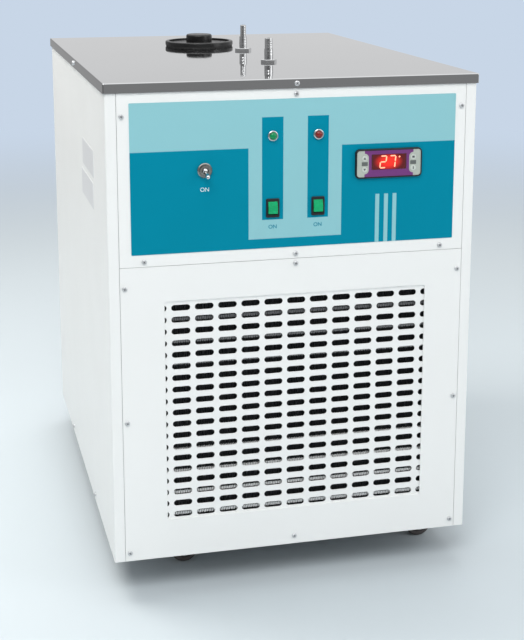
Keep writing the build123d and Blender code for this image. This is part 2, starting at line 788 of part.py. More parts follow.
def reservoir():
    shell = block(tank_x0, tank_x1, tank_y0, tank_y1, tank_z0, tank_z1)
    shell = fillet(shell.edges().filter_by(Axis.Z), tank_r)
    inner = block(tank_x0 + tank_t, tank_x1 - tank_t, tank_y0 + tank_t, tank_y1 - tank_t,
                  tank_z0 + tank_t, tank_z1 - tank_t)
    inner = fillet(inner.edges().filter_by(Axis.Z), tank_r - tank_t)
    spout = rod_z(outlet_x, outlet_y, tank_z0 - outlet_drop, tank_z0 + 1, pump_port_r)
    cuts = [rod_z(outlet_x, outlet_y, tank_z0 - outlet_drop - 1, tank_z0 + 3, pump_port_bore),
            rod_z(fill_x, fill_y, tank_z1 - 3, tank_z1 + 1, neck_r - neck_wall),
            rod_z(return_x, return_y, tank_z1 - 3, tank_z1 + 1, return_port_r),
            rod_z(probe_x, probe_y, tank_z1 - 3, tank_z1 + 1, probe_r + pass_clear)]
    for y in (coil_y0, coil_y0 + coil_pitch * (coil_runs - 1)):
        cuts.append(rod_x(y, coil_exit_z, tank_x0 - 1, tank_x0 + 3, copper_r + pass_clear))
    return shell - inner + spout - cuts


def tank_insulation():
    g = insul_gap
    foam = block(tank_x0 - insul_t, tank_x1 + insul_t, tank_y0 - insul_t, tank_y1 + insul_t,
                 tank_z0 - insul_t, tank_z1 - 2)
    nest = block(tank_x0 - g, tank_x1 + g, tank_y0 - g, tank_y1 + g, tank_z0, tank_z1 + 1)
    nest = fillet(nest.edges().filter_by(Axis.Z), tank_r)
    cuts = [rod_z(outlet_x, outlet_y, tank_z0 - insul_t - 1, tank_z0 + 1, pump_port_r + g)]
    for y in (coil_y0, coil_y0 + coil_pitch * (coil_runs - 1)):
        cuts.append(rod_x(y, coil_exit_z, tank_x0 - insul_t - 1, tank_x0 + 1, copper_r + pass_clear))
    return foam - nest - cuts


def reservoir_shelf():
    top = tank_z0 - insul_t
    x0, x1 = sheet, cab_w - sheet
    tray = block(x0, x1, shelf_y0, shelf_y1, top - shelf_lip, top)
    hollow = block(x0 + shelf_t, x1 - shelf_t, shelf_y0 + shelf_t, shelf_y1 + 1,
                   top - shelf_lip - 1, top - shelf_t)
    cuts = [rod_z(outlet_x, outlet_y, top - 5, top + 1, pump_port_r + 1)]
    for y in (coil_y0, coil_y0 + coil_pitch * (coil_runs - 1)):
        cuts.append(rod_z(riser_x, y, top - 5, top + 1, copper_r + 2))
    return tray - hollow - cuts


def evaporator_coil():
    # A flat serpentine of copper tube, both ends out through the tank's left wall
    last_y = coil_y0 + coil_pitch * (coil_runs - 1)
    points = [(coil_exit_x, coil_y0, coil_exit_z), (coil_x, coil_y0, coil_exit_z)]
    for k in range(coil_runs):
        y = coil_y0 + coil_pitch * k
        ends = (coil_high, coil_low) if k % 2 == 0 else (coil_low, coil_high)
        if k > 0:
            points.append((coil_x, y, ends[0]))
        if k < coil_runs - 1:
            points.append((coil_x, y, ends[1]))
    points += [(coil_x, last_y, coil_exit_z), (coil_exit_x, last_y, coil_exit_z)]
    points = [p for k, p in enumerate(points) if p != (coil_x, last_y, coil_high)]
    return tube(points, copper_r, copper_wall, copper_bend)


def temperature_probe():
    stem = rod_z(probe_x, probe_y, tank_z1 - probe_len, tank_z1, probe_r)
    stem = fillet(stem.edges().sort_by(Axis.Z)[:1], probe_r * 0.8)
    return stem + hexagon(probe_x, probe_y, tank_z1, tank_z1 + 8, 14)


def compressor():
    z0 = pan_t + grommet_h
    can = rod_z(comp_x, comp_y, z0 + comp_base_t, z0 + comp_h, comp_r)
    can = fillet(can.edges().sort_by(Axis.Z)[-1:], comp_dome)
    seam = rod_z(comp_x, comp_y, z0 + comp_h * 0.5, z0 + comp_h * 0.5 + 4, comp_r + 2.5)
    half = comp_base / 2
    base = block(comp_x - half, comp_x + half, comp_y - half, comp_y + half, z0, z0 + comp_base_t)
    base = fillet(base.edges().filter_by(Axis.Z), 12)
    side_x = comp_x + comp_r
    box = block(side_x - 6, side_x + 16, comp_y - terminal_box / 2, comp_y + terminal_box / 2,
                z0 + 40, z0 + 90)
    stub_x = comp_x + comp_stub_dx
    stubs = [rod_y(stub_x, comp_stub_z, comp_y - comp_stub_reach, comp_y - comp_r / 2, comp_stub_r),
             rod_y(stub_x, comp_stub_z, comp_y + comp_r / 2, comp_y + comp_stub_reach, comp_stub_r)]
    feet = [rod_z(x, y, z0 - 1, z0 + comp_base_t + 1, screw_r + screw_clear) for x, y in comp_feet()]
    return can + seam + base + box + stubs - feet


def comp_feet():
    off = comp_base / 2 - 14
    return [(comp_x + sx * off, comp_y + sy * off) for sx in (-1, 1) for sy in (-1, 1)]


def compressor_mounts():
    grommets = []
    for x, y in comp_feet():
        body = rod_z(x, y, pan_t, pan_t + grommet_h, grommet_r)
        groove = rod_z(x, y, pan_t + 5, pan_t + grommet_h - 5, grommet_r + 1)
        core = rod_z(x, y, pan_t + 5, pan_t + grommet_h - 5, grommet_r - 2)
        grommets.append(body - (groove - core))
    return Compound(children=grommets)


def condenser():
    # Comb of upright fins in front and behind, side plates, and hairpin tube ends at both sides
    y1 = cond_y0 + cond_d
    web = block(cond_x0, cond_x1, cond_y0 + fin_deep, y1 - fin_deep, cond_z0, cond_z1)
    count = int((cond_x1 - cond_x0) / fin_pitch)
    comb = Rectangle(cond_x1 - cond_x0, cond_d)
    first = -(count - 1) * fin_pitch / 2
    gaps = []
    for k in range(count):
        for side in (-1, 1):
            gaps.append(Pos(first + k * fin_pitch, side * (cond_d - fin_deep) / 2)
                        * Rectangle(fin_pitch - fin_t, fin_deep))
    plan = comb - gaps
    fins = at((cond_x0 + cond_x1) / 2, (cond_y0 + y1) / 2, cond_z0) * extrude(plan, amount=cond_z1 - cond_z0)
    plates = [block(cond_x0 - cond_plate_t, cond_x0, cond_y0, y1, pan_t, cond_z1),
              block(cond_x1, cond_x1 + cond_plate_t, cond_y0, y1, pan_t, cond_z1)]
    bends = []
    pitch = (cond_z1 - cond_z0) / cond_rows
    mid_y = (cond_y0 + y1) / 2
    for k in range(cond_rows - 1):
        z = cond_z0 + pitch * (k + 0.5)
        side = cond_x1 + cond_plate_t if k % 2 == 0 else cond_x0 - cond_plate_t
        out = side + cond_bend_x if k % 2 == 0 else side - cond_bend_x
        hairpin = [(side, mid_y, z), (out, mid_y, z), (out, mid_y, z + pitch), (side, mid_y, z + pitch)]
        bends.append(tube(hairpin, cond_tube_r, cond_tube_r * 0.2, cond_bend_x * 0.9))
    plate_x = cond_x0 - cond_plate_t
    for z in cond_ports():
        bends.append(rod_x(mid_y, z, plate_x - cond_bend_x, plate_x, copper_r))
    return fins + web + plates + bends


def cond_ports():
    # The lowest tube leaves and the highest tube enters at the left side
    pitch = (cond_z1 - cond_z0) / cond_rows
    return [cond_z0 + pitch * 0.5, cond_z0 + pitch * (cond_rows - 0.5)]


def fan_shroud():
    y0 = cond_y0 + cond_d
    y1 = y0 + shroud_d
    box = block(cond_x0, cond_x1, y0, y1, cond_z0, cond_z1)
    hollow = block(cond_x0 + shroud_t, cond_x1 - shroud_t, y0 - 1, y1 - shroud_t,
                   cond_z0 + shroud_t, cond_z1 - shroud_t)
    ring = rod_y(fan_x, fan_z, y1 - shroud_t, y1 + ring_d, ring_r + shroud_t)
    mouth = rod_y(fan_x, fan_z, y1 - shroud_t - 1, y1 + ring_d + 1, ring_r)
    return box - hollow + ring - mouth


fan_y0 = cond_y0 + cond_d + shroud_d
fan_y1 = fan_y0 + fan_hub_d


def fan_blades():
    hub = rod_y(fan_x, fan_z, fan_y0, fan_y1, fan_hub_r)
    hub = fillet(hub.edges().sort_by(Axis.Y)[:1], 4)
    span = fan_r + 10 - fan_hub_r / 2
    blade = Pos(fan_hub_r / 2 + span / 2, 0, 0) * Rot(-fan_twist, 0, 0) * Box(span, fan_blade_t, fan_chord)
    rim = Rot(90, 0, 0) * Cylinder(fan_r, fan_hub_d)
    middle = at(fan_x, (fan_y0 + fan_y1) / 2, fan_z)
    blades = [middle * Rot(0, 360 / fan_blades_n * k, 0) * (blade & rim) for k in range(fan_blades_n)]
    shaft = rod_y(fan_x, fan_z, fan_y1, fan_y1 + fan_motor_gap + shaft_in, shaft_r)
    return hub + blades + shaft


def fan_motor():
    # Motor can on a strap bracket that stands on the base pan
    y0 = fan_y1 + fan_motor_gap
    y1 = y0 + fan_motor_d
    can = rod_y(fan_x, fan_z, y0, y1, fan_motor_r)
    can = fillet(can.edges().sort_by(Axis.Y)[:1], 6)
    bore = rod_y(fan_x, fan_z, y0 - 1, y0 + shaft_in + 2, shaft_r + shaft_clear)
    strap = block(fan_x - strap_w / 2, fan_x + strap_w / 2, y1, y1 + strap_t, pan_t, fan_z + fan_motor_r)
    foot = block(fan_x - strap_w / 2, fan_x + strap_w / 2, y1, y1 + 40, pan_t, pan_t + strap_t)
    return can - bore + strap + foot


def pump_head():
    y0, y1 = pump_y, pump_y + pump_head_d
    head = rod_y(pump_x, pump_z, y0, y1, pump_head_r)
    head = fillet(head.edges().sort_by(Axis.Y)[:1], 4)
    suction = rod_y(pump_x, pump_z, y0 - pump_port_l, y0 + 1, pump_port_r)
    top = pump_z + pump_head_r + pump_port_l
    mid_y = y1 - pump_chamber_d / 2
    discharge = rod_z(pump_x, mid_y, pump_z + pump_chamber_r + 2, top, pump_port_r)
    cuts = [rod_y(pump_x, pump_z, y1 - pump_chamber_d, y1 + 1, pump_chamber_r),
            rod_y(pump_x, pump_z, y0 - pump_port_l - 1, y1 - pump_chamber_d + 1, pump_port_bore),
            rod_z(pump_x, mid_y, pump_z + pump_chamber_r - 2, top + 1, pump_port_bore)]
    return head + suction + discharge - cuts


def pump_impeller():
    y1 = pump_y + pump_head_d
    back = y1 - 1.0
    disc = rod_y(pump_x, pump_z, back - impeller_t, back, impeller_r)
    hub_at = at(pump_x, back - impeller_t - vane_h / 2 + 0.5, pump_z)
    vanes = []
    for k in range(vane_n):
        vane = Pos(vane_reach / 2, 0, 0) * Box(vane_reach, vane_h, vane_t)
        vanes.append(hub_at * Rot(0, 360 / vane_n * k, 0) * vane)
    shaft = rod_y(pump_x, pump_z, back - impeller_t - vane_h, y1 + pump_shaft_in, pump_shaft_r)
    return disc + vanes + shaft


def pump_motor():
    y0 = pump_y + pump_head_d
    y1 = y0 + pump_motor_d
    can = rod_y(pump_x, pump_z, y0, y1, pump_motor_r)
    can = fillet(can.edges().sort_by(Axis.Y)[-1:], 8)
    fins = [rod_y(pump_x, pump_z, y0 + 22 + k * 12, y0 + 26 + k * 12, pump_motor_r + 3) for k in range(6)]
    foot = block(pump_x - foot_w / 2, pump_x + foot_w / 2, y0 + 10, y1 - 20, pan_t, pan_t + 4)
    web = block(pump_x - foot_w / 4, pump_x + foot_w / 4, y0 + 20, y1 - 30, pan_t, pump_z)
    bore = rod_y(pump_x, pump_z, y0 - 1, y0 + pump_shaft_in + 2, pump_shaft_r + shaft_clear)
    return can + fins + foot + web - bore


def refrigerant_lines():
    # Discharge, liquid and suction lines, with the filter drier brazed into the liquid line
    mid_y = cond_y0 + cond_d / 2
    port_x = cond_x0 - cond_plate_t - cond_bend_x
    low, high = cond_ports()
    last_y = coil_y0 + coil_pitch * (coil_runs - 1)
    stub_x = comp_x + comp_stub_dx
    front_y = comp_y - comp_stub_reach
    rear_y = comp_y + comp_stub_reach
    discharge = tube([(stub_x, front_y, comp_stub_z), (stub_x, front_y - 70, comp_stub_z),
                      (riser_x, 190, high), (riser_x, mid_y, high), (port_x, mid_y, high)],
                     copper_r, copper_wall, 10)
    liquid = tube([(port_x, mid_y, low), (riser_x, mid_y, low), (riser_x, drier_y0, low)],
                  copper_r, copper_wall, 10)
    drier = rod_y(riser_x, low, drier_y0, drier_y1, drier_r)
    drier = chamfer(drier.edges().group_by(Axis.Y)[0] + drier.edges().group_by(Axis.Y)[-1], 4)
    feed = tube([(riser_x, drier_y1, low), (riser_x, coil_y0, low), (riser_x, coil_y0, coil_exit_z),
                 (coil_exit_x, coil_y0, coil_exit_z)], copper_r, copper_wall, copper_bend)
    suction = tube([(stub_x, rear_y, comp_stub_z), (stub_x, last_y, comp_stub_z),
                    (riser_x, last_y, comp_stub_z + 60), (riser_x, last_y, coil_exit_z),
                    (coil_exit_x, last_y, coil_exit_z)], copper_r, copper_wall, copper_bend)
    return Compound(children=[discharge, liquid + drier, feed, suction])


def water_hoses():
    mid_y = pump_y + pump_head_d - pump_chamber_d / 2
    supply = tube([(pump_x, mid_y, pump_z + pump_head_r + pump_port_l), (pump_x, mid_y, hose_rise_z),
                   (supply_x, supply_y, hose_cross_z), (supply_x, supply_y, lid_top - nipple_down)],
                  hose_r, hose_wall, hose_bend)
    suction = tube([(outlet_x, outlet_y, tank_z0 - outlet_drop), (outlet_x, outlet_y, hose_drop_z),
                    (outlet_x, hose_low_y, hose_low_z), (pump_x, hose_front_y, pump_z),
                    (pump_x, pump_y - pump_port_l, pump_z)], hose_r, hose_wall, hose_bend)
    back = rod_z(return_x, return_y, tank_z1, lid_top - nipple_down, thread_r)
    back = back - rod_z(return_x, return_y, tank_z1 - 1, lid_top - nipple_down + 1, thread_r - 1.5)
    return Compound(children=[supply, suction, back])


def power_inlet():
    y1 = cab_d + inlet_out
    flange = plate_y(inlet_x, inlet_z, inlet_w, inlet_h, cab_d, y1, 3)
    body = block(inlet_x - inlet_body_w / 2, inlet_x + inlet_body_w / 2, cab_d - inlet_d, cab_d,
                 inlet_z - inlet_body_h / 2, inlet_z + inlet_body_h / 2)
    socket = plate_y(inlet_x, inlet_z, socket_w, socket_h, y1 - socket_d, y1 + 1, 2)
    pins = []
    for dx, dz in ((-7.0, 1.5), (7.0, 1.5), (0.0, 5.2)):
        x, z = inlet_x + dx, inlet_z + dz
        pins.append(block(x - blade_w / 2, x + blade_w / 2, y1 - socket_d, y1 - socket_d + blade_l,
                          z - blade_t / 2, z + blade_t / 2))
    return flange + body - socket + pins


def electrical_box():
    x1 = cab_w - sheet
    box = block(ebox_x0, x1, ebox_y0, ebox_y1, ebox_z0, ebox_z1)
    box = fillet(box.edges().filter_by(Axis.Z).group_by(Axis.X)[0], 3)
    hollow = block(ebox_x0 + sheet, x1 + 1, ebox_y0 + sheet, ebox_y1 - sheet,
                   ebox_z0 + sheet, ebox_z1 - sheet)
    return box - hollow


# Casters
caster_places = {
    "front_left": (caster_in_x, caster_in_y),
    "front_right": (cab_w - caster_in_x, caster_in_y),
    "rear_left": (caster_in_x, cab_d - caster_in_y),
    "rear_right": (cab_w - caster_in_x, cab_d - caster_in_y),
}
fork_top = -caster_plate_t - swivel_gap
fork_low = fork_top - swivel_t
axle_z = wheel_r - caster_h
leg_in = wheel_w / 2 + wheel_gap


def caster_plates():
    plates = []
    for x, y in caster_places.values():
        plate = block(x - caster_plate / 2, x + caster_plate / 2, y - caster_plate / 2, y + caster_plate / 2,
                      -caster_plate_t, 0)
        plate = fillet(plate.edges().filter_by(Axis.Z), 4)
        pin = rod_z(x, y, fork_low - swivel_gap, 0, kingpin_r)
        head = rod_z(x, y, fork_low - swivel_gap - kingpin_head, fork_low - swivel_gap, kingpin_r + 2)
        plates.append(plate + pin + head)
    return Compound(children=plates)


def caster_fork(x, y):
    crown = rod_z(x, y, fork_low, fork_top, swivel_r)
    legs = []
    for side in (-1, 1):
        outline = make_face(Polyline((-fork_back, fork_top), (fork_back + 1, fork_top),
                                     (caster_trail + fork_boss_r, axle_z + 3),
                                     (caster_trail, axle_z - fork_boss_r),
                                     (caster_trail - fork_boss_r, axle_z - 2), (-fork_back, fork_low),
                                     close=True))
        outline = outline + Pos(caster_trail, axle_z) * Circle(fork_boss_r)
        leg = extrude(Plane.XZ * outline, amount=leg_t)
        y_out = y + leg_in + leg_t if side > 0 else y - leg_in
        legs.append(at(x, y_out, 0) * leg)
    axle = rod_y(x + caster_trail, axle_z, y - leg_in - leg_t - 1, y + leg_in + leg_t + 1, axle_r)
    bore = rod_z(x, y, fork_low - 1, fork_top + 1, kingpin_r + axle_clear)
    return crown + legs + axle - bore


def caster_wheel(x, y):
    wheel = rod_y(x + caster_trail, axle_z, y - wheel_w / 2, y + wheel_w / 2, wheel_r)
    wheel = fillet(wheel.edges().filter_by(GeomType.CIRCLE), wheel_edge_r)
    dishes = []
    for face_y in (y - wheel_w / 2, y + wheel_w / 2):
        dish = rod_y(x + caster_trail, axle_z, face_y - 2, face_y + 2, wheel_r * 0.62)
        hub = rod_y(x + caster_trail, axle_z, face_y - 3, face_y + 3, axle_r + 3)
        dishes.append(dish - hub)
    bore = rod_y(x + caster_trail, axle_z, y - wheel_w, y + wheel_w, axle_r + axle_clear)
    return wheel - dishes - bore


# Build and write every piece
holes = screw_holes()
left = drilled(side_panel(True), holes)
save(left, "left_side_panel")
save(mirror(left, about=Plane.YZ), "right_side_panel")
save(drilled(base_pan(), holes), "base_pan")
save(drilled(front_frame(), holes), "front_frame")
save(drilled(upper_front_panel(), holes), "upper_front_panel")
save(drilled(lower_front_panel(), holes), "lower_front_panel")
save(drilled(rear_panel(), holes), "rear_panel")
save(drilled(lid(), holes), "lid")
save(vent_grille(), "vent_grille")
save(fascia_overlay(), "fascia_overlay")
save(Compound(children=[pan_screw(at(x, y, z), turn) for x, y, z, turn in screw_places()]), "panel_screws")
save(toggle_body(), "toggle_body")
save(toggle_bushing(), "toggle_bushing")
save(toggle_lever(), "toggle_lever")
save(Compound(children=[lamp_bezel(x) for x in lamp_x]), "lamp_bezels")
save(Compound(children=[rocker_case(x) for x in lamp_x]), "rocker_cases")
for name, x in zip(("pump", "cooling"), lamp_x):
    save(lamp_lens(x), f"{name}_lamp_lens")
    save(rocker_paddle(x), f"{name}_rocker")
save(controller_case(), "controller_case")
save(controller_face(), "controller_face")
save(controller_display(), "controller_display")
for name, place in zip(("up", "down", "set", "power"), key_places()):
    save(controller_key(*place), f"{name}_key")
save(filler_neck(), "filler_neck")
save(filler_cap(), "filler_cap")
save(cap_gasket(), "cap_gasket")
save(nipple(supply_x, supply_y, supply_af, supply_h, supply_body_r, supply_barb_r), "supply_nipple")
save(nipple(return_x, return_y, return_af, return_h, return_body_r, return_barb_r), "return_nipple")
save(locknuts(), "nipple_locknuts")
save(reservoir(), "reservoir")
save(tank_insulation(), "tank_insulation")
save(reservoir_shelf(), "reservoir_shelf")
save(evaporator_coil(), "evaporator_coil")
save(temperature_probe(), "temperature_probe")
save(compressor(), "compressor")
save(compressor_mounts(), "compressor_mounts")
save(condenser(), "condenser")
save(fan_shroud(), "fan_shroud")
save(fan_motor(), "fan_motor")
save(fan_blades(), "fan_blades")
save(pump_motor(), "pump_motor")
save(pump_head(), "pump_head")
save(pump_impeller(), "pump_impeller")
save(refrigerant_lines(), "refrigerant_lines")
save(water_hoses(), "water_hoses")
save(power_inlet(), "power_inlet")
save(electrical_box(), "electrical_box")
save(caster_plates(), "caster_plates")
for name, (x, y) in caster_places.items():
    save(caster_fork(x, y), f"{name}_fork")
    save(caster_wheel(x, y), f"{name}_wheel")
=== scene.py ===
# Looks of the recirculating chiller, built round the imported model. Metres, +Z up, front towards -Y.
import json
import math

import bmesh
import bpy
from mathutils import Matrix, Vector

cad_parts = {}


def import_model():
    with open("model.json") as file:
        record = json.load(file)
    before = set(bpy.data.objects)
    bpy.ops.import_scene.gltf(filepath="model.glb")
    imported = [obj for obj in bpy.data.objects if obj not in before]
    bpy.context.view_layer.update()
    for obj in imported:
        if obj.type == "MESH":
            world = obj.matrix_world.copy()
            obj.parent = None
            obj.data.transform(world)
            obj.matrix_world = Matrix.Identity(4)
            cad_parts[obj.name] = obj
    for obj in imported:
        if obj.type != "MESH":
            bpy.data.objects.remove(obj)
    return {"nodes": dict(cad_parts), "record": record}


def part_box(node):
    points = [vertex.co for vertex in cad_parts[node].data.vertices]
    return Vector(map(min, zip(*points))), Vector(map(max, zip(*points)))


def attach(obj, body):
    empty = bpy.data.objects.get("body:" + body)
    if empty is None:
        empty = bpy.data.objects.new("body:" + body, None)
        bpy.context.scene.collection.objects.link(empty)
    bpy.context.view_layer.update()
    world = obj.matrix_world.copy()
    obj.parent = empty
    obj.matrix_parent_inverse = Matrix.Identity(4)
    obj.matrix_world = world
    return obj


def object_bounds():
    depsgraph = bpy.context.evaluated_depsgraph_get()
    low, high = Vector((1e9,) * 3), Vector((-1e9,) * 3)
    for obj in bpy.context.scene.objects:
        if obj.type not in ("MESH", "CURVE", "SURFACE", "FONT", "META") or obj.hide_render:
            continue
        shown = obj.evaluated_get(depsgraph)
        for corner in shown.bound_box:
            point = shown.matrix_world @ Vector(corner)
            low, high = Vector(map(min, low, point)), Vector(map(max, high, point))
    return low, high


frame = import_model()
nodes = frame["nodes"]
MM = 0.001
cad_low, cad_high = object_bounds()


# Places taken from the frame
def low(node):
    return Vector(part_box(node)[0])


def high(node):
    return Vector(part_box(node)[1])


def middle(node):
    return (low(node) + high(node)) / 2


cab_left = low("left_side_panel").x
cab_front = low("upper_front_panel").y
cab_base = low("left_side_panel").z
top_edge = low("lid").z
film_front = low("fascia_overlay").y


def place(x, y, z):
    # Millimetres from the cabinet's left front bottom corner, to metres in the frame
    return Vector((cab_left + x * MM, cab_front + y * MM, cab_base + z * MM))


def place_below(x, y, drop):
    # The same, with the height measured down from the lid's lower edge
    return Vector((cab_left + x * MM, cab_front + y * MM, top_edge - drop * MM))


# Colours, linear
def srgb(r, g, b):
    def line(c):
        c = c / 255
        return c / 12.92 if c <= 0.04045 else ((c + 0.055) / 1.055) ** 2.4
    return (line(r), line(g), line(b), 1.0)


WHITE_COAT = srgb(233, 235, 234)
TEAL_DARK = srgb(0, 131, 158)
TEAL_LIGHT = srgb(138, 192, 200)
PRINT_WHITE = srgb(225, 238, 238)
PALE_PATCH = srgb(214, 216, 218)


# Material building blocks. A noise value mostly lies between these two
NOISE_LOW, NOISE_HIGH = 0.3, 0.7


class Build:
    def __init__(self, name):
        self.mat = bpy.data.materials.new(name)
        self.mat.use_nodes = True
        self.tree = self.mat.node_tree
        self.shader = self.tree.nodes["Principled BSDF"]
        self.coords = self.tree.nodes.new("ShaderNodeTexCoord").outputs["Object"]

    def put(self, socket, value):
        self.shader.inputs[socket].default_value = value
        return self

    def link(self, a, b):
        self.tree.links.new(a, b)
        return b

    def noise(self, scale, detail=3.0, stretch=(1, 1, 1)):
        mapping = self.tree.nodes.new("ShaderNodeMapping")
        mapping.inputs["Scale"].default_value = stretch
        self.link(self.coords, mapping.inputs["Vector"])
        node = self.tree.nodes.new("ShaderNodeTexNoise")
        node.inputs["Scale"].default_value = scale
        node.inputs["Detail"].default_value = detail
        self.link(mapping.outputs["Vector"], node.inputs["Vector"])
        return node.outputs["Fac"]

    def spread(self, value, lowest, highest):
        node = self.tree.nodes.new("ShaderNodeMapRange")
        node.inputs["From Min"].default_value = NOISE_LOW
        node.inputs["From Max"].default_value = NOISE_HIGH
        node.inputs["To Min"].default_value = lowest
        node.inputs["To Max"].default_value = highest
        self.link(value, node.inputs["Value"])
        return node.outputs["Result"]

    def rough(self, value, lowest, highest):
        self.link(self.spread(value, lowest, highest), self.shader.inputs["Roughness"])
        return self

    def bump(self, value, strength, distance):
        node = self.tree.nodes.new("ShaderNodeBump")
        node.inputs["Strength"].default_value = strength
        node.inputs["Distance"].default_value = distance
        self.link(value, node.inputs["Height"])
        self.link(node.outputs["Normal"], self.shader.inputs["Normal"])
        return self

    def mix(self, factor, a, b):
        node = self.tree.nodes.new("ShaderNodeMix")
        node.data_type = "RGBA"
        for value, index in ((factor, 0), (a, 6), (b, 7)):
            if hasattr(value, "default_value"):
                self.link(value, node.inputs[index])
            else:
                node.inputs[index].default_value = value
        return node.outputs[2]

    def tint(self, value, colour, amount):
        # The colour varies a little over the surface
        dark = tuple(c * (1 - amount) for c in colour[:3]) + (1,)
        mixed = self.mix(self.spread(value, 0, 1), dark, colour)
        self.link(mixed, self.shader.inputs["Base Color"])
        return self

    def math(self, kind, a, b):
        node = self.tree.nodes.new("ShaderNodeMath")
        node.operation = kind
        for value, index in ((a, 0), (b, 1)):
            if hasattr(value, "default_value"):
                self.link(value, node.inputs[index])
            else:
                node.inputs[index].default_value = value
        return node.outputs[0]

    def axes(self):
        node = self.tree.nodes.new("ShaderNodeSeparateXYZ")
        self.link(self.coords, node.inputs[0])
        return node.outputs


def powder_coat(name, colour):
    b = Build(name)
    grain = b.noise(900.0, 2.0)
    return b.tint(b.noise(6.0), colour, 0.02).rough(b.noise(14.0), 0.36, 0.46).bump(grain, 0.10, 0.0002).mat


def polished_steel(name, colour, lowest, highest):
    b = Build(name).put("Metallic", 1.0)
    lines = b.noise(40.0, 4.0, (1.0, 40.0, 40.0))
    return b.tint(b.noise(5.0), colour, 0.05).rough(lines, lowest, highest).bump(lines, 0.02, 0.0001).mat


def plated(name, colour, lowest=0.12, highest=0.22):
    b = Build(name).put("Metallic", 1.0)
    return b.tint(b.noise(60.0), colour, 0.08).rough(b.noise(120.0), lowest, highest).bump(
        b.noise(700.0), 0.03, 0.0001).mat


def moulded(name, colour, lowest, highest, grain=1200.0, strength=0.08, coat=0.0):
    b = Build(name).put("Coat Weight", coat)
    return b.tint(b.noise(40.0), colour, 0.12).rough(b.noise(90.0), lowest, highest).bump(
        b.noise(grain, 2.0), strength, 0.0002).mat


def lens(name, colour, glow):
    b = Build(name).put("Coat Weight", 0.25).put("Transmission Weight", 0.15).put("IOR", 1.45)
    b.put("Emission Color", colour).put("Emission Strength", glow).put("Specular IOR Level", 0.3)
    b.tint(b.noise(300.0), colour, 0.3).rough(b.noise(80.0), 0.06, 0.12)
    return b.bump(b.noise(500.0), 0.05, 0.0002).mat


def glowing(name, colour, strength):
    b = Build(name).put("Base Color", colour).put("Emission Color", colour).put("Emission Strength", strength)
    return b.rough(b.noise(200.0), 0.3, 0.4).mat


# Printed fields of the control film, in millimetres from the cabinet's left edge and below the lid
FIELD_TOP = 64.2
FIELD_LEFT_END = 156.0
FIELD_RIGHT_START = 262.3
MIDDLE_LOW = 166.2
BARS = [(171.2, 195.3), (222.9, 247.0)]
BAR_TOP, BAR_LOW = 30.6, 144.8
STRIPES = [304.5, 314.8, 324.8]
STRIPE_W = 4.6
STRIPE_TOP = 121.6
FILM_END = 300.0


def printed_film(name):
    b = Build(name).put("Specular IOR Level", 0.05)
    x, y, z = b.axes()

    def right_of(mm):
        return b.math("GREATER_THAN", x, cab_left + mm * MM)

    def above(drop):
        return b.math("GREATER_THAN", z, top_edge - drop * MM)

    def inverse(value):
        return b.math("SUBTRACT", 1.0, value)

    def rect(x0, x1, top, bottom):
        across = b.math("SUBTRACT", right_of(x0), right_of(x1))
        return b.math("MULTIPLY", across, b.math("SUBTRACT", above(bottom), above(top)))

    middle_light = rect(FIELD_LEFT_END, FIELD_RIGHT_START, FIELD_TOP, MIDDLE_LOW)
    dark = b.math("SUBTRACT", inverse(above(FIELD_TOP)), middle_light)
    for x0, x1 in BARS:
        dark = b.math("MAXIMUM", dark, rect(x0, x1, BAR_TOP, BAR_LOW))
    for centre in STRIPES:
        stripe = rect(centre - STRIPE_W / 2, centre + STRIPE_W / 2, STRIPE_TOP, FILM_END)
        dark = b.math("MULTIPLY", dark, inverse(stripe))
    cloud = b.spread(b.noise(9.0), 0.0, 0.35)
    light = b.mix(cloud, TEAL_LIGHT, srgb(139, 189, 194))
    teal = b.mix(cloud, TEAL_DARK, srgb(0, 124, 146))
    b.link(b.mix(dark, light, teal), b.shader.inputs["Base Color"])
    return b.rough(b.noise(30.0), 0.40, 0.48).bump(b.noise(1500.0, 2.0), 0.06, 0.0001).mat


# Print of the controller's face, from its centre
KEY_FIELD_FROM = 28.6 * MM
BULGE_W, BULGE_H = 4.8 * MM, 4.6 * MM
BULGE_FROM = 7.0 * MM
KEY_BAR_X = 28.4 * MM
KEY_BAR_HALF_W, KEY_BAR_HALF_H = 3.6 * MM, 2.2 * MM


def controller_print(name):
    # Purple face with a grey key field at each end
    b = Build(name).put("Coat Weight", 0.4)
    x, y, z = b.axes()
    centre = middle("controller_face")
    dx = b.math("ABSOLUTE", b.math("SUBTRACT", x, centre.x), 0.0)
    dz = b.math("ABSOLUTE", b.math("SUBTRACT", z, centre.z), 0.0)
    outer = b.math("GREATER_THAN", dx, KEY_FIELD_FROM)
    bulge_x = b.math("MAXIMUM", b.math("SUBTRACT", KEY_FIELD_FROM, dx), 0.0)
    bulge_z = b.math("MAXIMUM", b.math("SUBTRACT", dz, BULGE_FROM), 0.0)
    reach = b.math("ADD", b.math("POWER", b.math("DIVIDE", bulge_x, BULGE_W), 2.0),
                   b.math("POWER", b.math("DIVIDE", bulge_z, BULGE_H), 2.0))
    inner = b.math("LESS_THAN", reach, 1.0)
    grey = b.math("MAXIMUM", outer, inner)
    off_x = b.math("ABSOLUTE", b.math("SUBTRACT", dx, KEY_BAR_X), 0.0)
    in_width = b.math("LESS_THAN", off_x, KEY_BAR_HALF_W)
    bar = b.math("MULTIPLY", in_width, b.math("LESS_THAN", dz, KEY_BAR_HALF_H))
    colour = b.mix(grey, srgb(108, 46, 116), srgb(172, 180, 171))
    colour = b.mix(bar, colour, srgb(92, 98, 96))
    b.link(colour, b.shader.inputs["Base Color"])
    return b.rough(b.noise(60.0), 0.28, 0.36).bump(b.noise(1500.0, 2.0), 0.05, 0.0001).mat


